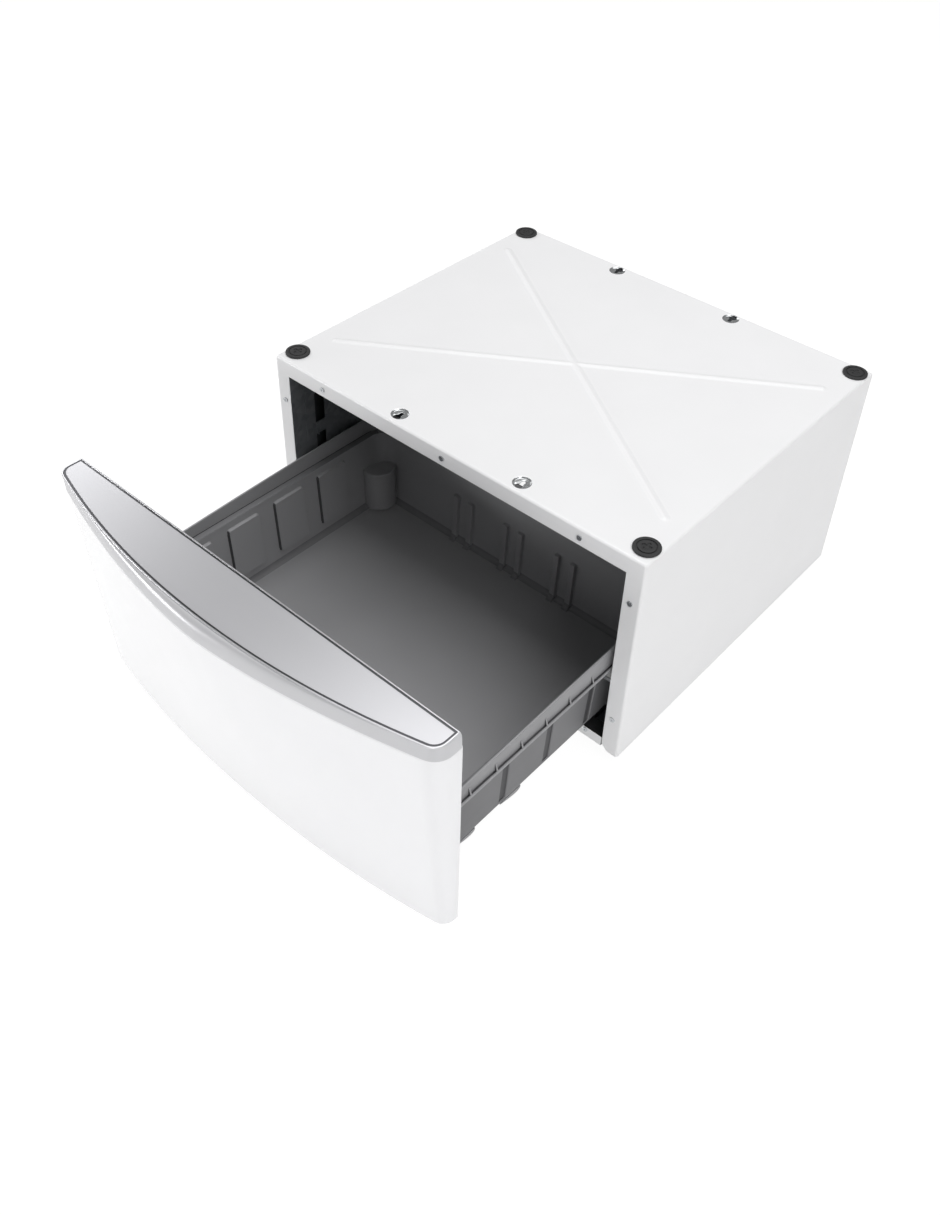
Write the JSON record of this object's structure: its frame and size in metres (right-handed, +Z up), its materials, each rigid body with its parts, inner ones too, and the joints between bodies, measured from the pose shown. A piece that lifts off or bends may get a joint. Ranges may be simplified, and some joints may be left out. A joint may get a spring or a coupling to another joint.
{
  "type": "washer pedestal drawer",
  "caption": "Sheet metal pedestal that lifts a washer, with a roller-guided storage drawer behind a bowed front with a satin grip cap.",
  "frame": {"origin": "on the floor under the centre of the cabinet, midway between the four levelling feet", "axes": "+Z up; -Y is the front, where the drawer opens; +X to the right seen from the front"},
  "size_m": [0.695, 1.0298, 0.3975],
  "materials": {
    "white_enamel": "satin white enamel",
    "gloss_enamel": "gloss white enamel",
    "zinc_sheet": "galvanised sheet, dull",
    "zinc_steel": "bright zinc",
    "nylon": "matte white nylon",
    "rubber": "matte black",
    "foot_plastic": "matte black",
    "tub_plastic": "fine matte grain, dark grey",
    "band_plastic": "silver grey lacquer",
    "satin_aluminium": "satin",
    "chrome": "polished"
  },
  "bodies": {
    "cabinet": {"cabinet_wrapper": "white_enamel", "rear_panel": "zinc_sheet", "front_bottom_rail": "white_enamel", "rear_bottom_rail": "white_enamel", "front_top_brace": "zinc_sheet", "rear_top_brace": "zinc_sheet", "base_rail_left": "zinc_sheet", "base_rail_right": "zinc_sheet", "side_bracket_left": "zinc_sheet", "side_bracket_right": "zinc_sheet", "cabinet_rail_left": "zinc_steel", "cabinet_rail_right": "zinc_steel", "cabinet_roller_pins": "zinc_steel", "pad_front_left": "rubber", "pad_front_right": "rubber", "pad_back_left": "rubber", "pad_back_right": "rubber", "foot_nuts": "zinc_steel", "front_flange_screws": "zinc_steel", "bottom_rail_screws": "zinc_steel", "rear_panel_screws": "zinc_steel"},
    "drawer": {"drawer_tub": "tub_plastic", "front_panel": "gloss_enamel", "front_back_plate": "zinc_sheet", "cap_body": "band_plastic", "cap_plate": "satin_aluminium", "cap_trim": "chrome", "drawer_runner_left": "zinc_steel", "drawer_runner_right": "zinc_steel", "drawer_roller_pins": "zinc_steel", "front_bumpers": "rubber", "tub_screws": "zinc_steel", "back_plate_screws": "zinc_steel", "runner_screws": "zinc_steel", "cap_screws": "zinc_steel"},
    "front_left_rail_roller": {"cabinet_roller_left": "nylon"},
    "front_right_rail_roller": {"cabinet_roller_right": "nylon"},
    "drawer_left_roller": {"drawer_roller_left": "nylon"},
    "drawer_right_roller": {"drawer_roller_right": "nylon"},
    "levelling_foot_front_left": {"foot_front_left": "foot_plastic"},
    "levelling_foot_front_right": {"foot_front_right": "foot_plastic"},
    "levelling_foot_back_left": {"foot_back_left": "foot_plastic"},
    "levelling_foot_back_right": {"foot_back_right": "foot_plastic"}
  },
  "joints": [
    {"name": "drawer_slide", "type": "slide", "parent": "cabinet", "child": "drawer", "axis": [0, -1, 0], "range_m": [-0.334, 0.046]},
    {"name": "rail_roller_left_spin", "type": "hinge", "parent": "cabinet", "child": "front_left_rail_roller", "pos_m": [-0.308, -0.2795, 0.1663], "axis": [1, 0, 0], "range_deg": [-1620, 240]},
    {"name": "rail_roller_right_spin", "type": "hinge", "parent": "cabinet", "child": "front_right_rail_roller", "pos_m": [0.308, -0.2795, 0.1663], "axis": [1, 0, 0], "range_deg": [-1620, 240]},
    {"name": "drawer_roller_left_spin", "type": "hinge", "parent": "drawer", "child": "drawer_left_roller", "pos_m": [-0.3077, -0.1355, 0.1642], "axis": [1, 0, 0], "range_deg": [-240, 1620]},
    {"name": "drawer_roller_right_spin", "type": "hinge", "parent": "drawer", "child": "drawer_right_roller", "pos_m": [0.3077, -0.1355, 0.1642], "axis": [1, 0, 0], "range_deg": [-240, 1620]},
    {"name": "foot_front_left_level", "type": "slide", "parent": "cabinet", "child": "levelling_foot_front_left", "axis": [0, 0, -1], "range_m": [-0.008, 0.015]},
    {"name": "foot_front_right_level", "type": "slide", "parent": "cabinet", "child": "levelling_foot_front_right", "axis": [0, 0, -1], "range_m": [-0.008, 0.015]},
    {"name": "foot_back_left_level", "type": "slide", "parent": "cabinet", "child": "levelling_foot_back_left", "axis": [0, 0, -1], "range_m": [-0.008, 0.015]},
    {"name": "foot_back_right_level", "type": "slide", "parent": "cabinet", "child": "levelling_foot_back_right", "axis": [0, 0, -1], "range_m": [-0.008, 0.015]}
  ],
  "couplings": [
    {"joint": "rail_roller_left_spin", "follows": "drawer_slide", "rad_per_m": 84.03},
    {"joint": "rail_roller_right_spin", "follows": "drawer_slide", "rad_per_m": 84.03},
    {"joint": "drawer_roller_left_spin", "follows": "drawer_slide", "rad_per_m": -81.97},
    {"joint": "drawer_roller_right_spin", "follows": "drawer_slide", "rad_per_m": -81.97}
  ]
}
